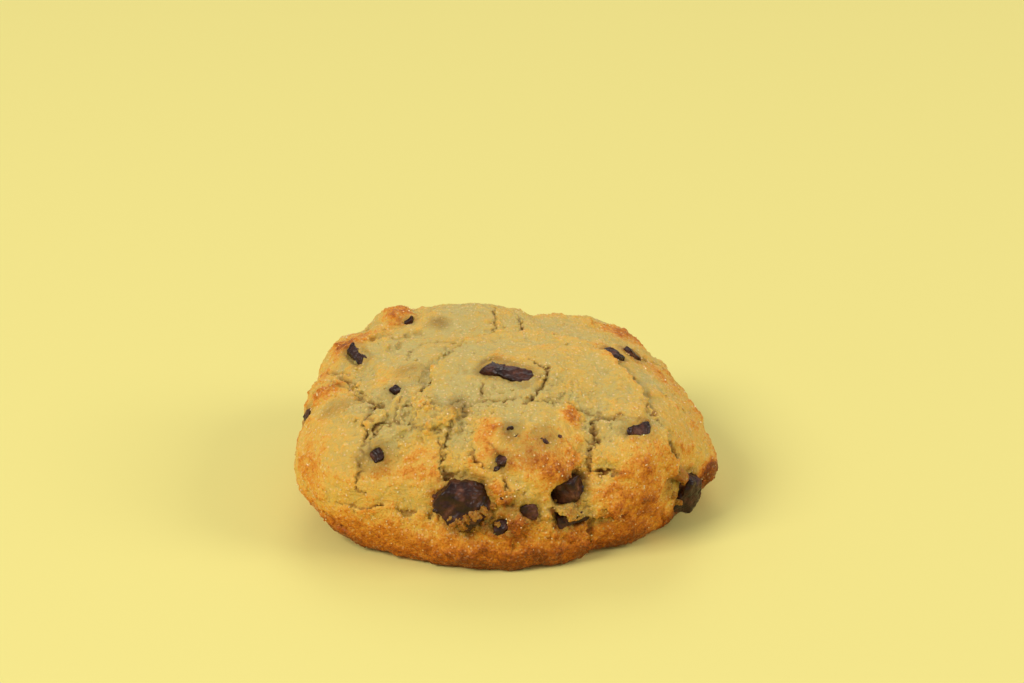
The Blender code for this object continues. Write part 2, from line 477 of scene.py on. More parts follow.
def nearest_on_line(spots, outward, knots):
    """Distance of each spot from a line of knots, its side and its share of the way along."""
    best, side, share = (np.full(len(spots), value) for value in (NO_EDGE, 0.0, 0.0))
    steps = len(knots) - 1
    for index in range(steps):
        start, run = knots[index], knots[index + 1] - knots[index]
        at = np.clip(((spots - start) @ run) / (run @ run), 0, 1)
        offset = spots - (start + at[:, None] * run)
        gap = np.linalg.norm(offset, axis=1)
        nearer = gap < best
        best = np.where(nearer, gap, best)
        side = np.where(nearer, np.sign((np.cross(run, offset) * outward).sum(1)), side)
        share = np.where(nearer, (index + at) / steps, share)
    return best, side, share


class Skin:
    """A mesh's points and normals, with each point's distance and bent direction from the heart."""

    def __init__(self, mesh):
        self.mesh = mesh
        self.points = vectors(mesh.vertices, "co")
        self.normals = vectors(mesh.vertices, "normal")
        spokes = self.points - np.array(heart)
        self.reach = np.linalg.norm(spokes, axis=1)
        self.ways = spokes / self.reach[:, None]
        sphere = self.ways * MIDDLE_REACH
        bends = np.stack([noise_over(sphere, 3.0 * MM, seed, 4) for seed in (1, 2, 3)], axis=1)
        self.bent = self.ways + bends * BEND / MIDDLE_REACH
        first, second, border = crumb_neighbours(self.bent * MIDDLE_REACH, CRUMB)
        self.crumbs = first / MIDDLE_REACH, second / MIDDLE_REACH
        self.border = border / MM

    def near(self, bearing, elevation, radius):
        """1 at a place on the skin, fading to 0 at the radius in mm."""
        spot = np.array(toward(bearing, elevation))
        distance = np.linalg.norm(self.bent - spot, axis=1) * self.reach / MM
        return np.clip(1 - (distance / radius) ** 2, 0, 1) ** 1.5

    def line(self, places):
        """Where the skin is by a line: the distance in mm, the side (1 left, -1 right), the distance
        from the ragged edge between the crumbs on its two sides, and a fade to 0 at its ends."""
        knots = np.array([toward(*place) for place in places])
        distance, _, share = nearest_on_line(self.bent, self.ways, knots)
        sides = [nearest_on_line(crumb, self.ways, knots)[1] for crumb in self.crumbs]
        distance = distance * self.reach / MM
        at_edge = (sides[0] * sides[1] < 0) & (distance < EDGE_REACH)
        edge = np.where(at_edge, self.border, NO_EDGE)
        ends = smooth_step(np.minimum(share, 1 - share), 0.0, 0.12)
        return distance, sides[0], edge, ends

    def push_out(self, distances):
        """Move every point along its normal by its distance in mm, and keep the base flat."""
        held = smooth_step((self.points[:, 2] - dough_low.z) / MM, -0.1, 0.6)
        moved = self.points + self.normals * (distances * held * MM)[:, None]
        moved[:, 2] = np.maximum(moved[:, 2], dough_low.z)
        self.mesh.vertices.foreach_set("co", moved.astype(np.float32).ravel())
        self.mesh.update()


skin = Skin(form)
print("skin reaches", round(skin.reach.min() / MM, 1), "to", round(skin.reach.max() / MM, 1), "mm")

# %% [markdown]
# ## Folds and ledges
#
# As the dough slumped, one layer slid over another and left ledges. They could be sculpted by hand,
# but a list of places is easier to change. The left side of each such line, going along it, stands
# proud by a rise and the right side falls away by a fall, both fading out over a spread. Bumps and
# lumps are where spoonfuls of dough met.

# %% Ledges
# name: (rise mm, fall mm, spread mm, places)
LEDGES = {
    "cap": (1.7, 1.7, 2.6, (-31, 27), (-25, 31), (-19, 35), (-11, 42), (0, 48), (13, 56), (38, 63),
        (66, 67), (109, 69), (140, 67), (164, 66), (-175, 64), (-165, 60), (-160, 55), (-153, 49),
        (-146, 46), (-141, 39)),
    "cap front": (-0.3, 0, 3, (-42, 28), (-48, 32), (-52, 35), (-60, 42), (-68, 44), (-80, 46), (-96, 46),
        (-107, 46), (-112, 40), (-111, 35)),
    "left crack": (0.3, 0, 2.6, (-133, 9), (-134, 12), (-136, 14), (-137, 17), (-139, 20), (-141, 23),
        (-145, 27)),
    "left branch": (0, 0.25, 1.6, (-136, 19), (-138, 23), (-138, 26), (-135, 28)),
    "foot": (0, 0.7, 3.5, (-100, -3), (-106, 0), (-109, 3), (-115, 3), (-122, 3), (-128, 4), (-134, 3),
        (-139, 3)),
    "right step": (1.3, 1.5, 3, (-37, 7), (-34, 9), (-32, 12), (-35, 15), (-36, 18), (-34, 20), (-33, 22)),
    "front ledge": (1.4, 1.4, 2.6, (-76, 6), (-73, 3.5), (-70, 1.5), (-66, 1), (-60, 2), (-53, 0)),
    "flake": (1, 0.3, 3, (-89, -6), (-87, -2), (-85, 1), (-85, 6)),
    "foot split": (0.5, 0.8, 4, (-63, -13), (-63, -7), (-63, -2), (-61, 2)),
    "ear": (0.7, 0.8, 2.6, (160, 28), (156, 32), (149, 33), (143, 33), (136, 34)),
    "back crack": (0.6, 0, 4, (98, 44), (100, 51), (103, 58)),
    "back ring": (-0.5, 0.6, 2.4, (176, 44), (165, 43), (156, 44), (151, 53), (148, 62), (128, 70),
        (100, 70)),
    "left fold": (0.5, 0.5, 2.4, (170, 36), (160, 38), (150, 38), (142, 42)),
    "right groove": (0.4, 0.5, 3, (-51, 1), (-46, 4), (-40, 3)),
    "back fold": (0.9, 0.6, 5, (30, 14), (48, 18), (64, 16), (80, 20), (96, 18), (112, 22), (126, 18),
        (140, 14)),
    "right side fold": (0.6, 0.4, 4, (-6, 8), (8, 14), (20, 12), (34, 16)),
    "grey valley": (-1, 1, 2.2, (-164, 52), (-178, 60), (165, 66)),
    "left lump": (0.5, 0.4, 3, (-143, 26), (-149, 29), (-153, 28), (-162, 28), (-170, 27), (-175, 24)),
    "dark gap": (-0.7, 0.7, 2, (-158, 28), (-151, 30), (-146, 31)),
    "mound left": (0.6, 0.5, 3, (-108, 13), (-111, 18), (-113, 22), (-112, 28), (-111, 36)),
    "mound right": (-0.9, 0.9, 2.6, (-50, 33), (-54, 28), (-58, 25), (-61, 21), (-62, 17), (-65, 14)),
}
# bearing, elevation, radius mm, height mm
BUMPS = [
    (127, 33, 3.2, -1.6), (120, 43, 8, -0.6), (68, 38, 5, 0.6), (55, 34, 10, -2), (45, 27, 8, -1),
    (35, 24, 9, -1.2), (17, 26, 10, -1.4), (7, 23, 10, -1.5), (-2, 19, 9, -1.2), (-7, 14, 7, -0.8),
    (22, 14, 8, -1.2), (12, 11, 9, -1.5), (3, 6, 8, -0.9), (153, 28, 5.5, -1.6), (143, 26, 5, -3),
    (133, 32, 2.8, 0.3), (161, 18, 5, -1.2), (88, 40, 5, 0.5), (176, 17, 5, 1), (-33, -6, 6, 0.8),
    (-46, -12, 6, 0.7), (-118, -12, 7, 0.9), (-106, -13, 7, 1), (-94, -13, 7, 1), (-82, -12, 7, 1),
    (-70, -12, 6, 0.9), (-141, -8, 7, 0.7), (-130, -10, 7, 0.8), (-140, 32, 3.4, 1.2), (-133, 38, 2.8, 1),
    (-120, 35, 3.6, 1.3), (-127, 34, 2.4, 0.6), (-112, 31, 2.6, 0.7), (-122, 29, 2.6, 0.8),
    (-129, 25, 3.6, 0.8), (-134, 21, 2.8, 0.5), (-141, 24, 2.6, 0.6), (-177, 25, 2.8, 0.8),
    (-171, 22, 3.6, 0.9), (-158, 31, 2.6, 0.5), (-92, 13, 3, 1), (-88, 3, 2.8, 0.8), (-100, 31, 4.8, 0.9),
    (-80, 20, 5.5, 0.9), (-60, 36, 3.2, 0.8), (-58, 21, 3.2, 0.6), (-48, 17, 6, 0.7), (-61, 11, 3.4, 0.7),
    (-55, 5, 3.8, 0.9), (-72, 5, 2.6, 0.7), (-110, 26, 2.2, 0.7), (-106, 22, 2.8, 0.7), (-60, -6, 5, 0.7),
    (-102, -6, 6, 0.5), (-133, 0, 5, 0.5), (-123, -3, 5, 0.5), (-111, -5, 5, 0.5), (-13, -2, 3, 0.8),
    (60, 30, 6, 0.8), (105, 12, 7, 0.9), (140, 4, 6, 0.7), (20, 3, 6, 0.7), (70, 4, 6, 0.8),
    (175, 8, 6, 0.6),
]
# Lumps have steep sides where bumps are gentle. Their numbers are in the same order.
LUMPS = [
    (-138, 32, 2.6, 1.1), (-129, 36, 2.9, 1.1), (-116, 34, 2.7, 1.2), (-133, 26, 2.9, 0.9),
    (-143, 26, 2.3, 0.9), (-124, 30, 2.4, 0.8),
]
# The whole heap is uneven too, in swells of 9 mm and of 4 mm.
push = 0.45 * noise_over(skin.points, 9 * MM, 4, 2) + 0.35 * noise_over(skin.points, 4 * MM, 10, 2)
for rise, fall, spread, *places in LEDGES.values():
    distance, side, _, ends = skin.line(places)
    inside, outside = (np.exp(-((distance / reach) ** 2)) for reach in (1.6 * spread, spread))
    push += np.where(side > 0, rise * inside, -fall * outside) * ends
for *place, height in BUMPS:
    push += height * skin.near(*place)
for *place, height in LUMPS:
    push += height * smooth_step(skin.near(*place), 0.0, 0.45)
skin.push_out(push)
print(len(LEDGES), "ledges,", len(BUMPS), "bumps and", len(LUMPS), "lumps")

# %% [markdown]
# ## Tears and broken crumb
#
# Where the drying skin was stretched, it tore: a tear is a line with a half width and a depth. Beside
# tears the inside of the dough shows, and it breaks in rounded crumbs of one or two millimetres.
# Elsewhere it is only gritty. A bump in the material would fake all this, but not along the outline
# or in low light, so the new shape gets fresh even quads, small enough to carry real cracks.

# %% Tears
CRACK_QUAD = 0.36 * MM
FULLY_TORN = 1.4
dough_mesh = even_quads(form, CRACK_QUAD)
skin = Skin(dough_mesh)
# name: (half width mm, depth mm, side: 0 both, -1 right of the line only, then the places, or none
# where the tear runs along the ledge of that name)
TEARS = {
    "cap edge": (1.6, 1.1, -1, *LEDGES["cap"][3:10]),
    "cap edge back": (1, 0.4, -1, *LEDGES["cap"][9:]),
    "cap edge right": (0.4, 0.5, 0, (-34, 26), (-33, 28), (-29, 30), (-24, 30), (-20, 32)),
    "cap edge left": (0.7, 1.5, 0, (-164, 57), (-156, 50), (-150, 47), (-144, 44), (-140, 38)),
    "cap front": (0.5, 0.5, 0),
    "cap crack": (0.6, 1.8, 0, (-56, 60), (-61, 54), (-67, 53), (-71, 50), (-79, 46)),
    "cap nick": (0.4, 0.9, 0, (-58, 69), (-57, 64)),
    "cap split": (0.35, 0.7, 0, (-112, 56), (-108, 50)),
    "left crack": (0.3, 1, 0),
    "left branch": (0.3, 0.9, 0),
    "mound left": (0.6, 1.1, 0, (-115, 24), (-113, 20), (-111, 18), (-108, 15)),
    "foot": (0.8, 0.5, -1),
    "left foot": (0.6, 1.1, 0, (-143, -2), (-139, -5)),
    "right step": (2.2, 1.6, -1, (-32, 13), (-35, 15), (-36, 18), (-35, 20)),
    "right step edge": (0.7, 0.8, 0, *LEDGES["right step"][3:]),
    "front ledge": (1.3, 1.4, -1),
    "flake": (0.5, 0.8, 0),
    "flake back": (0.6, 0.6, 0, (-85, 6), (-90, 3), (-94, 0)),
    "foot split": (0.8, 1.3, 0),
    "ear": (0.4, 0.4, 0),
    "back crack": (0.5, 1.3, 0),
    "back nick": (0.4, 0.9, 0, (82, 50), (79, 59)),
    "left lump": (0.5, 0.8, 0),
    "left lump top": (0.7, 0.9, 0, (172, 22), (178, 26), (-171, 27), (-166, 27)),
    "lump seam 1": (0.4, 0.6, 0, (-143, 37), (-137, 33), (-136, 28)),
    "lump seam 2": (0.4, 0.6, 0, (-136, 34), (-128, 35), (-124, 39)),
    "lump seam 3": (0.4, 0.6, 0, (-131, 29), (-125, 28), (-121, 30)),
    "lump seam 4": (0.5, 0.6, 0, (-120, 40), (-117, 44), (-112, 40)),
    "deep valley": (0.7, 0.7, 0, (-111, 38), (-112, 33), (-113, 28), (-115, 23)),
    "mound fold": (0.6, 0.9, 0, (-95, 26), (-93, 21), (-91, 18), (-91, 13)),
    "mound hollow": (0.8, 0.9, 0, (-102, 23), (-98, 20), (-94, 20)),
    "mound right": (0.9, 1, 0),
    "right foot": (0.6, 1, 0, (-37, -5), (-35, -10)),
    "hole under cap": (0.5, 1, 0, (-49, 32), (-46, 31)),
    "back ring": (0.35, 0.6, 0),
    "hole on right": (0.6, 1.2, 0, (-60, 15), (-56, 15)),
    "back tear": (0.6, 1.6, 0, (88, 20), (86, 12), (90, 6), (87, 0)),
    "back tear left": (0.5, 1.4, 0, (128, 18), (131, 12), (128, 5)),
    "left side tear": (0.5, 1.3, 0, (-176, 20), (-178, 12), (178, 6)),
    "right side tear": (0.5, 1.5, 0, (20, 30), (24, 22), (20, 14), (25, 6)),
}
push = np.zeros(len(skin.points))
# torn says how deep each point lies in a tear. It draws crumbs there, and the material paints shade into the
# tears by it.
torn = np.zeros(len(skin.points))
patchy = 0.55 + 0.45 * smooth_step(noise_over(skin.points, 5 * MM, 9, 2), -0.35, 0.25)
for name, (half_width, depth, only_side, *places) in TEARS.items():
    distance, side, edge, ends = skin.line(places or LEDGES[name][3:])
    if only_side:
        tear = smooth_step(1 - distance / half_width, 0.0, 0.5) * (side == only_side)
    else:
        tear = np.clip(1 - np.minimum(distance * 1.5, edge) / half_width, 0, 1) ** 0.8
    tear *= patchy
    push -= 1.25 * tear * depth * (0.35 + 0.65 * ends)
    torn = np.maximum(torn, tear * min(depth, FULLY_TORN) / FULLY_TORN)
print(len(TEARS), "tears, deepest", round(-push.min(), 1), "mm")


# %% Broken crumb and grit
def pebbles(places, size, seed):
    """Rounded crumbs packed side by side, 1 on top of each and 0 in the gaps between."""
    shift = Vector((3.1, 7.7, 1.9)) * seed
    gaps = np.empty(len(places))
    for index, place in enumerate(places):
        first, second = noise.voronoi(Vector(place) / size + shift)[0][:2]
        gaps[index] = second - first
    return np.sqrt(np.clip(gaps * 1.6, 0, 1))


# Where the skin broke and the crumb shows: bearing, elevation, radius mm.
BROKEN = [
    (-130, 31, 7), (-112, 33, 6), (-151, 29, 6), (-109, 23, 5), (-62, 18, 6), (-90, 8, 7), (-72, 3, 8),
    (-56, 47, 5), (-104, 45, 7), (-175, 24, 7), (-50, 31, 6), (80, 20, 9), (130, 12, 7), (40, 8, 6),
    (176, 14, 6),
]
broken = np.zeros(len(skin.points))
for place in BROKEN:
    broken = np.maximum(broken, np.clip(1.7 * skin.near(*place), 0, 1))
swell = noise_over(skin.points, 8 * MM, 14, 3)
ripple = noise_over(skin.points, 2.6 * MM, 5, 3)
grit = noise_over(skin.points, 0.95 * MM, 6, 2)
broken = np.clip(broken + 0.5 * torn + 0.35 * ripple + 0.15, 0, 1)
wander = 0.7 * MM * np.stack([ripple + grit, grit, grit - ripple], axis=1)
crumb = pebbles(skin.points + wander, 2.1 * MM, 1)
fine_crumb = pebbles(skin.points + 0.5 * wander, 1.0 * MM, 2)
texture = 0.28 * ripple + 0.17 * grit
texture += broken * (0.66 * (crumb - 0.6) + 0.36 * (fine_crumb - 0.6))
texture += (1 - broken) * (0.12 * (crumb - 0.6) + 0.13 * (fine_crumb - 0.6))
print("broken crumb covers", round(100 * (broken > 0.5).mean()), "% of the skin")

# %% [markdown]
# ## Room for the chocolate
#
# Round each piece the dough rose to the chocolate's face and drew back a little from it, so the piece
# sits in a shallow pit with a soft ragged lip. A boolean cut would leave a hole as sharp as a stamp's.
# Instead a ring of short rays feels how much of a piece lies round each point of skin. Points well
# over the piece sink under its face, and points beside it climb to its height. A side of a piece may
# also stay buried, which leaves a crescent showing.

# %% Pits
# name: (lip above the face mm, buried sides as (facing degrees, share); 0 right, 90 up, 180 left)
PITS = {
    "choc_top": (0.3, [(90, 0.35), (-90, 0.33)]),
    "choc_front_big": (-0.3, []),
    "choc_front_lower": (0.5, [(-90, 0.25), (0, 0.2)]),
    "choc_front_small": (0.5, [(90, 0.1), (-90, 0.12)]),
    "choc_front_block": (0.3, [(-60, 0.12)]),
    "choc_ledge": (0.3, [(90, 0.36)]),
    "choc_right": (-1.1, [(180, 0.15)]),
    "choc_right_top": (0.5, [(90, 0.3), (-90, 0.22)]),
    "choc_left_top": (0.5, [(101, 0.45)]),
    "choc_left_pit": (0.7, [(-90, 0.2), (90, 0.1)]),
    "choc_left_edge": (0.2, [(-90, 0.2)]),
    "choc_left_low": (0.5, [(-60, 0.25)]),
    "choc_cap_right": (0, []),
    "choc_rim_right": (0.4, [(0, 0.4)]),
    "choc_mound": (0.6, [(0, 0.25), (-90, 0.3)]),
}
PLAIN_PIT = (0.2, [])
RAY_START, RAY_LENGTH = 8 * MM, 14 * MM
RING = [(0.0, 0.0)] + [
    (radius * math.cos(turn), radius * math.sin(turn))
    for radius, count in ((0.5, 6), (1.0, 10))
    for turn in (2 * math.pi * step / count for step in range(count))
]

over, face_gap, beside, lip_here = (np.zeros(len(skin.points)) for _ in range(4))
for name in chocolate_names:
    lip, buried = PITS.get(name, PLAIN_PIT)
    tree = skin_of(pieces[name])
    corners = vectors(pieces[name].vertices, "co")
    centre = (corners.min(0) + corners.max(0)) / 2
    right, up, out = local_axes(centre)
    extent = np.linalg.norm(corners - centre, axis=1).max()
    ring_width = min(1.0 * MM, 0.18 * extent)
    for index in np.where(np.linalg.norm(skin.points - centre, axis=1) < extent + 4 * MM)[0]:
        here, normal = Vector(skin.points[index]), Vector(skin.normals[index])
        across = normal.orthogonal().normalized()
        along = normal.cross(across)
        felt = 0
        for side, forward in RING:
            start = here + (across * side + along * forward) * ring_width + normal * RAY_START
            felt += tree.ray_cast(start, -normal, RAY_LENGTH)[0] is not None
        nearest = tree.find_nearest(here)[0]
        hit = tree.ray_cast(here + normal * RAY_START, -normal, RAY_LENGTH)[0] or nearest
        gap = (nearest - here).length / MM
        near_it = 1.0 if felt else math.exp(-((max(0, gap - 0.6) / 1.3) ** 2))
        share_over = felt / len(RING)
        for facing, share in buried:
            turn = math.radians(facing)
            toward_side = right * math.cos(turn) + up * math.sin(turn)
            width = np.abs((corners - centre) @ np.array(toward_side)).max()
            depth = (here - Vector(centre)).dot(toward_side) / width
            share_over -= min(1, max(0, (depth - 1 + 2 * share) / 0.35))
        if near_it > beside[index]:
            beside[index], face_gap[index] = near_it, (hit - here).dot(normal) / MM
            over[index], lip_here[index] = share_over, lip
print(int((over > 0).sum()), "points feel chocolate under them")


# %% Sink the skin under the chocolate
def average_round(mesh, values, rounds):
    """Blend values with their neighbours' along the edges, again and again."""
    ends = np.empty(len(mesh.edges) * 2, np.int32)
    mesh.edges.foreach_get("vertices", ends)
    first, second, count = ends[::2], ends[1::2], len(values)
    links = np.bincount(ends, minlength=count)[:, None]
    for _ in range(rounds):
        total = [
            np.bincount(first, values[second, axis], count) + np.bincount(second, values[first, axis], count)
            for axis in range(values.shape[1])]
        values = (values + np.stack(total, axis=1) / links) / 2
    return values


UNDER_FACE = 0.8
ragged = 0.20 * ripple + 0.12 * grit + 0.20 * (crumb - 0.6) + 0.22 * (fine_crumb - 0.6)
sunk = smooth_step(average_round(dough_mesh, over[:, None], 2)[:, 0] + ragged, 0.38, 0.68)
climbed = push + beside * np.maximum(0, face_gap + lip_here - push)
push = climbed * (1 - sunk) + np.minimum(push, face_gap - UNDER_FACE) * sunk
push = np.where(beside > 0.15, average_round(dough_mesh, push[:, None], 7)[:, 0], push)
pit = np.maximum(sunk, 0.8 * beside)
skin.push_out(push + texture * (1 - sunk))
print(int((sunk > 0.9).sum()), "points lie under chocolate")


# %% Hollows
def store(mesh, name, values):
    layer = mesh.attributes.new(name, "FLOAT", "POINT")
    layer.data.foreach_set("value", np.asarray(values, np.float32))


moved = vectors(dough_mesh.vertices, "co")
facing = vectors(dough_mesh.vertices, "normal")
near_mean = average_round(dough_mesh, moved, 24)
hollow = ((near_mean - moved) * facing).sum(1) / MM
valley = ((average_round(dough_mesh, near_mean, 120) - near_mean) * facing).sum(1) / MM
# The hollows steer the browning, the crumbs and the sugar, and the material paints shade into them.
store(dough_mesh, "hollow", np.clip(hollow / 0.7, -1, 1))
store(dough_mesh, "torn", torn)
print("hollows run from", round(hollow.min(), 2), "to", round(hollow.max(), 2), "mm")

# %% [markdown]
# ## Where it browned
#
# Dough browns first where it is thin and hot: along the tray, on ridges and on anything that stands
# out. Valleys and the top stay pale. One noise would brown it anywhere, so each point works out its
# own browning from 0 to 1 by these rules, with a few places listed. A stain from 0 to 1 is where
# melted chocolate smeared. The material turns both into colour.

# %% Browning and stains
# bearing, elevation, radius mm, and how much browner, paler or more stained
BROWNED = [
    (-170, 24, 5, 0.4), (161, 25, 6, 0.4), (-167, 37, 5, 0.28), (-101, 37, 6, 0.3), (-99, 28, 6, 0.22),
    (-60, 36, 3.5, 0.5), (-80, 21, 8, 0.27), (-66, 24, 5, 0.18), (-46, 17, 7, 0.22), (-43, 10, 7, 0.14),
    (-14, -2, 4, 0.6), (-113, 8, 3, 0.4), (-51, 2, 7, 0.25), (-60, 7, 5, 0.22), (-93, 13, 4, 0.3),
    (-88, 2, 5, 0.28), (135, 33, 4, 0.42), (142, 31, 4, 0.4), (150, 27, 4, 0.36), (-16, 10, 8, 0.06),
    (159, 26, 5, 0.2), (-13, -2, 5, 0.3), (-117, 19, 7, 0.2), (-150, 8, 8, 0.18), (18, 45, 6, 0.22),
    (-74, 17, 6, 0.2), (-55, 14, 7, 0.12), (-6, 65, 7, 0.14), (-39, 52, 6, 0.1), (-41, 2, 5, 0.15),
    (80, 28, 9, 0.3), (120, 20, 9, 0.28), (45, 24, 9, 0.28), (10, 20, 9, 0.22), (175, 16, 9, 0.25),
]
PALE = [
    (-92, 42, 7, 0.16), (160, 46, 9, 0.14), (-176, 63, 6, 0.2), (-125, 45, 6, 0.18), (-108, 27, 5, 0.22),
    (-133, 27, 7, 0.14), (-7, 34, 6, 0.2), (-59, 50, 6, 0.14), (-149, 30, 5, 0.22), (169, 25, 5, 0.14),
    (118, 52, 9, 0.12), (69, 49, 8, 0.12), (-102, 49, 6, 0.1), (-135, 19, 5, 0.18), (-54, 23, 5, 0.1),
]
STAINED = [
    (-168, 43, 3.5, 0.45), (-159, 23, 4, 0.35), (-133, 17, 4.5, 0.5), (-76, 29, 4, 0.5),
    (-89, 32, 3.5, 0.5), (-83, 25, 4.5, 0.35), (-89, 8, 4, 0.6), (-35, 4, 4.5, 0.7), (134, 45, 3, 0.5),
    (-116, 41, 3.5, 0.4), (-102, 70, 3, 0.25), (9, 44, 3.5, 0.3), (100, 12, 6, 0.4), (47, 8, 5, 0.4),
]
up_share = (skin.points[:, 2] - dough_low.z) / (dough_high.z - dough_low.z)
bake = 0.36 - 0.20 * smooth_step(up_share, 0.55, 0.95)
bake += 0.46 * (1 - smooth_step(up_share, 0.05, 0.42))
bake += 0.19 * swell + 0.13 * ripple - 0.20 * np.clip(hollow, -0.8, 0.8)
bake -= 0.26 * np.clip(valley, -1, 1) + 0.10 * broken
for *place, amount in BROWNED:
    bake += amount * skin.near(*place)
for *place, amount in PALE:
    bake -= amount * skin.near(*place)
least = 0.30 - 0.34 * smooth_step(up_share, 0.50, 0.88)
bake = np.where(bake < least, least - 0.3 * (least - bake), bake)
stain = 0.60 * pit**2.2
for *place, amount in STAINED:
    stain = np.maximum(stain, amount * skin.near(*place))
stain = np.clip(stain * (1 + 0.6 * ripple + 0.4 * swell), 0, 1)
store(dough_mesh, "bake", np.clip(bake, 0, 1))
store(dough_mesh, "stain", stain)
print("browning runs from", round(bake.min(), 2), "to", round(bake.max(), 2))

# %% [markdown]
# ## A flat base and a lighter mesh
#
# The underside lay on a tray. Pressing the points down would crumple them, so a plane cuts it flat.
# The skin also has more quads than its flatter parts need. The Decimate modifier takes triangles away
# where they are missed least, and the cracks keep theirs.

# %% Cut the base and thin out the flatter parts
MOST_TRIANGLES = 196000
BASE_CUT = 0.06 * MM
dough_shape = bmesh.new()
dough_shape.from_mesh(dough_mesh)
rim = cut_off(dough_shape, (0, 0, dough_low.z + BASE_CUT), (0, 0, -1))
for vert in {v for edge in rim for v in edge.verts}:
    vert.co.z = dough_low.z
bmesh.ops.recalc_face_normals(dough_shape, faces=dough_shape.faces[:])
dough_shape.to_mesh(dough_mesh)
dough_shape.free()
kept_share = min(1.0, MOST_TRIANGLES / triangle_count(dough_mesh))
dough_mesh = with_modifiers(dough_mesh, ("DECIMATE", {"ratio": kept_share}))
print("dough has", triangle_count(dough_mesh), "triangles")

# %% [markdown]
# ## Baked dough
#
# Baked dough is flour, butter and sugar. Its surface is matt and a little open, light sinks into it
# and comes out warm, and butter gives the browned parts a faint gloss. The colour runs from creamy
# yellow in the pale crumb, through gold, to the orange brown of crust that touched the tray. One ramp
# over the browning gives all of these, because they are stages of one change. Freckles and grain are
# added to the browning, not to the colour, so they run through the same stages.

# %% Baked dough material
# Freckles of browning, grains of flour and sugar, and cells that may hold a dot of melted sugar.
FRECKLE, FLOUR_GRAIN, SUGAR_CELL = 1.053 * MM, 0.417 * MM, 0.667 * MM
baked_dough, dough_shader, add = new_material("baked dough")
place = add("TexCoord", output="Object")
bake_level, stain_level, torn_shade, hollow_shade = (
    add("Attribute", {"attribute_name": name}, output="Fac")
    for name in ("bake", "stain", "torn", "hollow"))
freckles = add("TexNoise", inputs={
    "Vector": place, "Scale": 1 / FRECKLE, "Detail": 3.0, "Roughness": 0.6})
grains = add("TexNoise", inputs={
    "Vector": place, "Scale": 1 / FLOUR_GRAIN, "Detail": 2.0, "Roughness": 0.6})
freckled = add("Math", {"operation": "MULTIPLY_ADD"}, {0: freckles, 1: 0.6, 2: bake_level})
grainy = add("Math", {"operation": "MULTIPLY_ADD"}, {0: grains, 1: 0.5, 2: freckled})
level = add("Math", {"operation": "SUBTRACT"}, {0: grainy, 1: 0.55})
crust = add("ValToRGB", inputs={"Fac": level}, stops=[
    (0.0, "#C3AE68"), (0.2, "#CFAD56"), (0.4, "#E0B04B"), (0.6, "#D98C26"), (0.8, "#B3610C"),
    (1.0, "#7A3C02")])

# Sugar that melted into the crust shows as pale dots, in about a third of its cells. The dots sink
# into the darker crust, where the sugar itself turned to caramel.
distance = add("TexVoronoi", inputs={"Vector": place, "Scale": 1 / SUGAR_CELL})
dots = add("MapRange", inputs={"Value": distance, "From Min": 0.42, "From Max": 0.20})
lucky = add("Math", {"operation": "GREATER_THAN"}, {0: distance.node.outputs["Color"], 1: 0.62})
dotted = add("Math", {"operation": "MULTIPLY"}, {0: dots, 1: lucky})
shown = add("MapRange", inputs={
    "Value": level, "From Min": 0.4, "From Max": 0.9, "To Min": 0.5, "To Max": 0.15})
dotted = add("Math", {"operation": "MULTIPLY"}, {0: dotted, 1: shown})
painted = add("Mix", {"data_type": "RGBA"}, {0: dotted, 6: crust, 7: colour("#F0D09A")}, output=2)

# Chocolate smears, painted shade in the tears and painted shade in the hollows each darken the colour.
# Painted shade in the hollows: the deeper the hollow, the darker the colour.
depth = add("MapRange", inputs={"Value": hollow_shade, "From Min": 0.15, "To Max": 0.8})
for share, tint in ((stain_level, "#78604C"), (torn_shade, "#A8783A"), (depth, "#C49A54")):
    painted = add(
        "Mix", {"data_type": "RGBA", "blend_type": "MULTIPLY"},
        {0: share, 6: painted, 7: colour(tint)}, output=2)
bumps = add("Bump", inputs={"Strength": 1.0, "Distance": 0.28 * MM, "Height": grains})
bumps = add("Bump", inputs={
    "Strength": 1.0, "Distance": 0.45 * MM, "Height": freckles, "Normal": bumps})
gloss = add("MapRange", inputs={"Value": level, "To Min": 0.55, "To Max": 0.32})
set_inputs(dough_shader, {
    "Base Color": painted, "Normal": bumps, "Roughness": gloss, "IOR": 1.45, "Specular IOR Level": 0.3,
    "Subsurface Weight": 0.35, "Subsurface Radius": (1.0, 0.45, 0.15), "Subsurface Scale": 1.4 * MM})
print("baked dough has", len(baked_dough.node_tree.nodes), "nodes")

# %% Put the dough in place
dough = new_piece("baked_dough", dough_mesh, baked_dough)
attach(dough, "root")
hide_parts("dough")
print("the dough replaces the plain dough")

# %% [markdown]
# ## Sugar, crumbs and shavings
#
# Some sugar never melts and stays on the crust as pale glassy grains. Crumbs of dough stick wherever
# the surface broke, and shavings from the chopping board stud the dough. Particles would be lost when
# the model is passed on, so each kind is one mesh: a tiny shape copied to many places on the skin,
# each copy turned and dented on its own.

# %% Sugar material
# Sugar grains are clear, and a haze of caramel tints them. Their faces are glassy, so each glints.
CARAMEL_HAZE = 1.11 * MM
sugar, sugar_shader, add = new_material("sugar")
place = add("TexCoord", output="Object")
haze = add("TexNoise", inputs={"Vector": place, "Scale": 1 / CARAMEL_HAZE})
caramel = add("ValToRGB", inputs={"Fac": haze}, stops=[(0.35, "#D9AE68"), (0.65, "#EED6A4")])
set_inputs(sugar_shader, {
    "Base Color": caramel, "Roughness": 0.25, "IOR": 1.55,
    "Subsurface Weight": 0.4, "Subsurface Scale": 0.4 * MM})
print("sugar has", len(sugar.node_tree.nodes), "nodes")


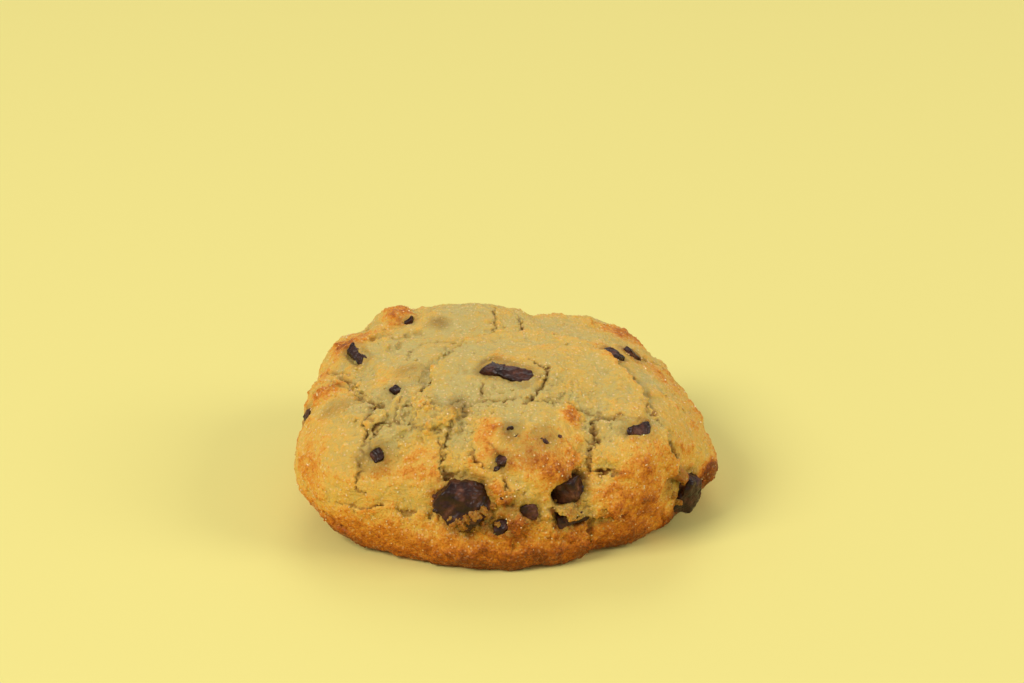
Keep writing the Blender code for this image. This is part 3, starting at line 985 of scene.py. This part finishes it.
# %% Copy a small shape to many places
def small_shape(rounds):
    """A cube 1 across if rounds is 0, or else a ball 1 across made finer by each round."""
    shape = bmesh.new()
    if rounds:
        bmesh.ops.create_icosphere(shape, subdivisions=rounds, radius=0.5)
    else:
        bmesh.ops.create_cube(shape, size=0.8)
    points = np.array([v.co[:] for v in shape.verts])
    faces = np.array([[v.index for v in f.verts] for f in shape.faces])
    shape.free()
    return points, faces


def copies(rounds, places, sizes, stretch, dent, seed):
    """One mesh of a small shape copied to every place, turned at random, stretched and dented."""
    points, faces = small_shape(rounds)
    dice = np.random.default_rng(seed)
    turns = np.linalg.qr(dice.normal(size=(len(places), 3, 3)))[0]
    turns *= np.sign(np.linalg.det(turns))[:, None, None]
    lengths = 1 + stretch * dice.uniform(-1, 1, size=(len(places), 1, 3))
    spots = np.einsum("nij,nkj->nki", turns, points * lengths * sizes[:, None, None])
    spots = (spots + places[:, None, :]).reshape(-1, 3)
    if dent:
        middles = np.repeat(places, len(points), axis=0)
        bumpy = noise_over(spots, 0.8 * MM, seed, 3)
        spots = middles + (spots - middles) * (1 + dent * bumpy)[:, None]
    corners = (faces + len(points) * np.arange(len(places))[:, None, None]).reshape(-1, faces.shape[1])
    mesh = bpy.data.meshes.new("copies")
    mesh.from_pydata(spots.tolist(), [], corners.tolist())
    return mesh


def finish_copies(name, mesh, material, flat=False):
    """Make a piece of the copies that rides on the cookie."""
    piece = new_piece(name, mesh, material)
    mesh.polygons.foreach_set("use_smooth", [not flat] * len(mesh.polygons))
    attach(piece, "root")
    print(name, "has", triangle_count(mesh), "triangles")

print("a cube has", len(small_shape(0)[1]), "faces, the crumb's ball", len(small_shape(2)[1]))

# %% The finished skin as arrays
skin_spots = vectors(dough_mesh.vertices, "co")
skin_facing = vectors(dough_mesh.vertices, "normal")
levels = {}
for field in ("bake", "hollow", "torn"):
    levels[field] = np.empty(len(skin_spots), np.float32)
    dough_mesh.attributes[field].data.foreach_get("value", levels[field])
print("the finished skin has", len(skin_spots), "points")

# %% Sugar grains, most on the browned ridges
GRAINS = 1400
dice = np.random.default_rng(5)
high_up = smooth_step((skin_spots[:, 2] - dough_low.z) / MM, 1.0, 9.0)
liking = high_up * (0.4 + levels["bake"]) * (levels["hollow"] < 0.3)
chosen = dice.choice(len(skin_spots), GRAINS, replace=False, p=liking / liking.sum())
sizes = dice.uniform(0.16, 0.32, GRAINS) * MM
places = skin_spots[chosen] + 0.02 * MM * skin_facing[chosen]
mesh = copies(0, places, sizes, stretch=0.25, dent=0, seed=21)
finish_copies("sugar_grains", mesh, sugar, flat=True)

# %% Dough crumbs, most in tears and hollows
CRUMBS = 260
clear = skin_spots[:, 2] > dough_low.z + 0.8 * MM
liking = clear * (0.1 + levels["torn"] + np.clip(levels["hollow"], 0, 1))
chosen = dice.choice(len(skin_spots), CRUMBS, replace=False, p=liking / liking.sum())
sizes = 0.3 * MM + dice.uniform(0, 1, CRUMBS) ** 3 * 0.7 * MM
places = skin_spots[chosen] + 0.2 * sizes[:, None] * skin_facing[chosen]
mesh = copies(2, places, sizes, stretch=0.25, dent=0.3, seed=22)
store(mesh, "bake", np.repeat(levels["bake"][chosen], len(mesh.vertices) // CRUMBS))
finish_copies("dough_crumbs", mesh, baked_dough)

# %% Crumbs stuck to the chocolate, and shavings of chocolate in the dough
# bearing, elevation, size mm
STUCK = [
    (-104, 4, 2.6), (-105.5, 3, 1.8), (-102, 5.5, 1.8), (-100, 6.5, 2.4), (-98, 7.5, 2), (-96.5, 6, 1.6),
    (-98.5, 1.5, 2.4), (-100, 2, 1.6), (-103, 2.5, 1.4), (-95, 8, 1.4), (-107, 5, 1.2), (-74, 8, 1),
    (-31, -3, 1.4), (-33, 0, 1.6), (-89.5, 0.2, 1.5), (-93.4, 2.6, 1.2), (-81.4, 4, 1.5), (-84, 3.6, 1.1),
    (-67.6, 7.2, 1.4),
]
SHAVINGS = [
    (-90, 33, 1.4), (-87, 30, 1.1), (-77, 28, 1.3), (-128, -13, 0.8), (-96, -13, 1), (-93, 23, 1.4),
    (-94, 20, 1), (-34, 3, 0.9), (-92, 11, 1), (-112, 10, 1.6), (-111, 7, 1.8), (-110, 4, 1.4),
    (-70, 29, 0.7), (-137, -12, 0.7), (-75, 5, 1.2), (60, 12, 1.2), (84, 30, 0.9), (115, 16, 1.1),
    (155, 12, 0.9), (176, 2, 1), (12, 12, 1), (36, 26, 0.9),
]
all_skins = skin_of(dough_mesh, *pieces.values())


def on_skin(spots, sunk):
    """Places given by bearing, elevation and size, each sunk by a share of its size in the skin."""
    found = []
    for bearing, elevation, size in spots:
        way = toward(bearing, elevation)
        found.append(all_skins.ray_cast(heart + way * FAR, -way)[0] - way * sunk * size * MM)
    return np.array(found), np.array([size for *_, size in spots]) * MM


mesh = copies(4, *on_skin(STUCK, 0.2), stretch=0.3, dent=0.6, seed=23)
store(mesh, "bake", [0.5] * len(mesh.vertices))
store(mesh, "stain", [0.6] * len(mesh.vertices))
finish_copies("stuck_crumbs", mesh, baked_dough)
mesh = copies(3, *on_skin(SHAVINGS, 0.4), stretch=0.4, dent=0.6, seed=24)
finish_copies("chocolate_shavings", mesh, dark_chocolate)
